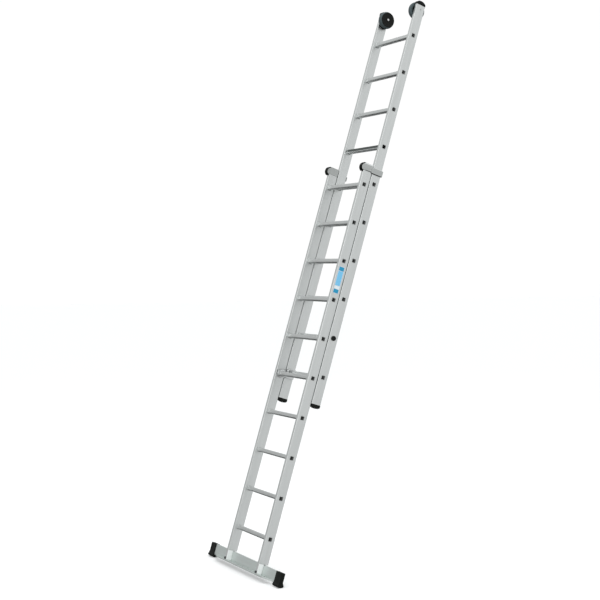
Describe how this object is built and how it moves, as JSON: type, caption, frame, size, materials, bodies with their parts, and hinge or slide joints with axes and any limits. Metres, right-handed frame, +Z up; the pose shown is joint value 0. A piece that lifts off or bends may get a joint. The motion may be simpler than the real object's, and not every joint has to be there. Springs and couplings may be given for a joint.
{
  "type": "extension ladder",
  "caption": "Push-up extension ladder leaning at working angle: square rungs, rung hooks with sprung latches, stabiliser bar on rubber feet, guide brackets and wall rollers.",
  "frame": {"origin": "on the floor, midway between the stiles, on the line where the two rubber feet of the stabiliser bar touch the floor", "axes": "+Z up, +Y from the climber's side towards the wall the ladder leans on, +X to the climber's right along the rungs; the stiles lean 17.2 degrees from +Z towards +Y"},
  "size_m": [1.053, 1.3933, 3.995],
  "materials": {
    "aluminium": "satin mill finish",
    "bright_aluminium": "bright, finely brushed",
    "zinc_steel": "bright zinc plate",
    "spring_steel": "dark oiled wire",
    "black_rubber": "matt moulded",
    "black_plastic": "satin moulded",
    "grey_rubber": "matt blue-grey, non-marking",
    "blue_film": "glossy printed film"
  },
  "bodies": {
    "lower_section": {"lower_stile_left": "aluminium", "guide_bracket_left": "aluminium", "bracket_bumper_left": "black_rubber", "stile_shoe_left": "bright_aluminium", "shoe_bolt_left": "black_plastic", "shoe_nut_left": "zinc_steel", "bar_foot_left": "black_rubber", "lower_stile_right": "aluminium", "guide_bracket_right": "aluminium", "bracket_bumper_right": "black_rubber", "stile_shoe_right": "bright_aluminium", "shoe_bolt_right": "black_plastic", "shoe_nut_right": "zinc_steel", "bar_foot_right": "black_rubber", "lower_rung_01": "aluminium", "lower_rung_02": "aluminium", "lower_rung_03": "aluminium", "lower_rung_04": "aluminium", "lower_rung_05": "aluminium", "lower_rung_06": "aluminium", "lower_rung_07": "aluminium", "lower_rung_08": "aluminium", "lower_rung_09": "aluminium", "lower_rung_10": "aluminium", "stabiliser_bar": "aluminium", "rating_label": "blue_film"},
    "upper_section": {"upper_stile_left": "aluminium", "upper_foot_left": "black_rubber", "stop_plug_left": "black_plastic", "rung_hook_left": "zinc_steel", "latch_pin_left": "bright_aluminium", "latch_spring_left": "spring_steel", "roller_bolt_left": "zinc_steel", "roller_mount_left": "black_plastic", "upper_stile_right": "aluminium", "upper_foot_right": "black_rubber", "stop_plug_right": "black_plastic", "rung_hook_right": "zinc_steel", "latch_pin_right": "bright_aluminium", "latch_spring_right": "spring_steel", "roller_bolt_right": "zinc_steel", "roller_mount_right": "black_plastic", "upper_rung_01": "aluminium", "upper_rung_02": "aluminium", "upper_rung_03": "aluminium", "upper_rung_04": "aluminium", "upper_rung_05": "aluminium", "upper_rung_06": "aluminium", "upper_rung_07": "aluminium", "upper_rung_08": "aluminium", "upper_rung_09": "aluminium", "upper_rung_10": "aluminium"},
    "latch_left": {"rung_latch_left": "zinc_steel"},
    "roller_left": {"roller_hub_left": "black_plastic", "roller_tyre_left": "grey_rubber", "roller_cap_left": "black_plastic"},
    "latch_right": {"rung_latch_right": "zinc_steel"},
    "roller_right": {"roller_hub_right": "black_plastic", "roller_tyre_right": "grey_rubber", "roller_cap_right": "black_plastic"}
  },
  "joints": [
    {"name": "section_slide", "type": "slide", "parent": "lower_section", "child": "upper_section", "axis": [0, 0.2957, 0.9553], "range_m": [-1.12, 1.12]},
    {"name": "latch_left_swing", "type": "hinge", "parent": "upper_section", "child": "latch_left", "pos_m": [-0.20355, 0.43635, 1.35408], "axis": [1, 0, 0], "range_deg": [0, 45], "stiffness_Nm_per_rad": 0.03, "springref_deg": -45.84},
    {"name": "latch_right_swing", "type": "hinge", "parent": "upper_section", "child": "latch_right", "pos_m": [0.20355, 0.43635, 1.35408], "axis": [1, 0, 0], "range_deg": [0, 45], "stiffness_Nm_per_rad": 0.03, "springref_deg": -45.84},
    {"name": "roller_left_spin", "type": "hinge", "parent": "upper_section", "child": "roller_left", "pos_m": [-0.19, 1.27712, 3.93068], "axis": [1, 0, 0], "continuous": true},
    {"name": "roller_right_spin", "type": "hinge", "parent": "upper_section", "child": "roller_right", "pos_m": [0.19, 1.27712, 3.93068], "axis": [1, 0, 0], "continuous": true}
  ]
}
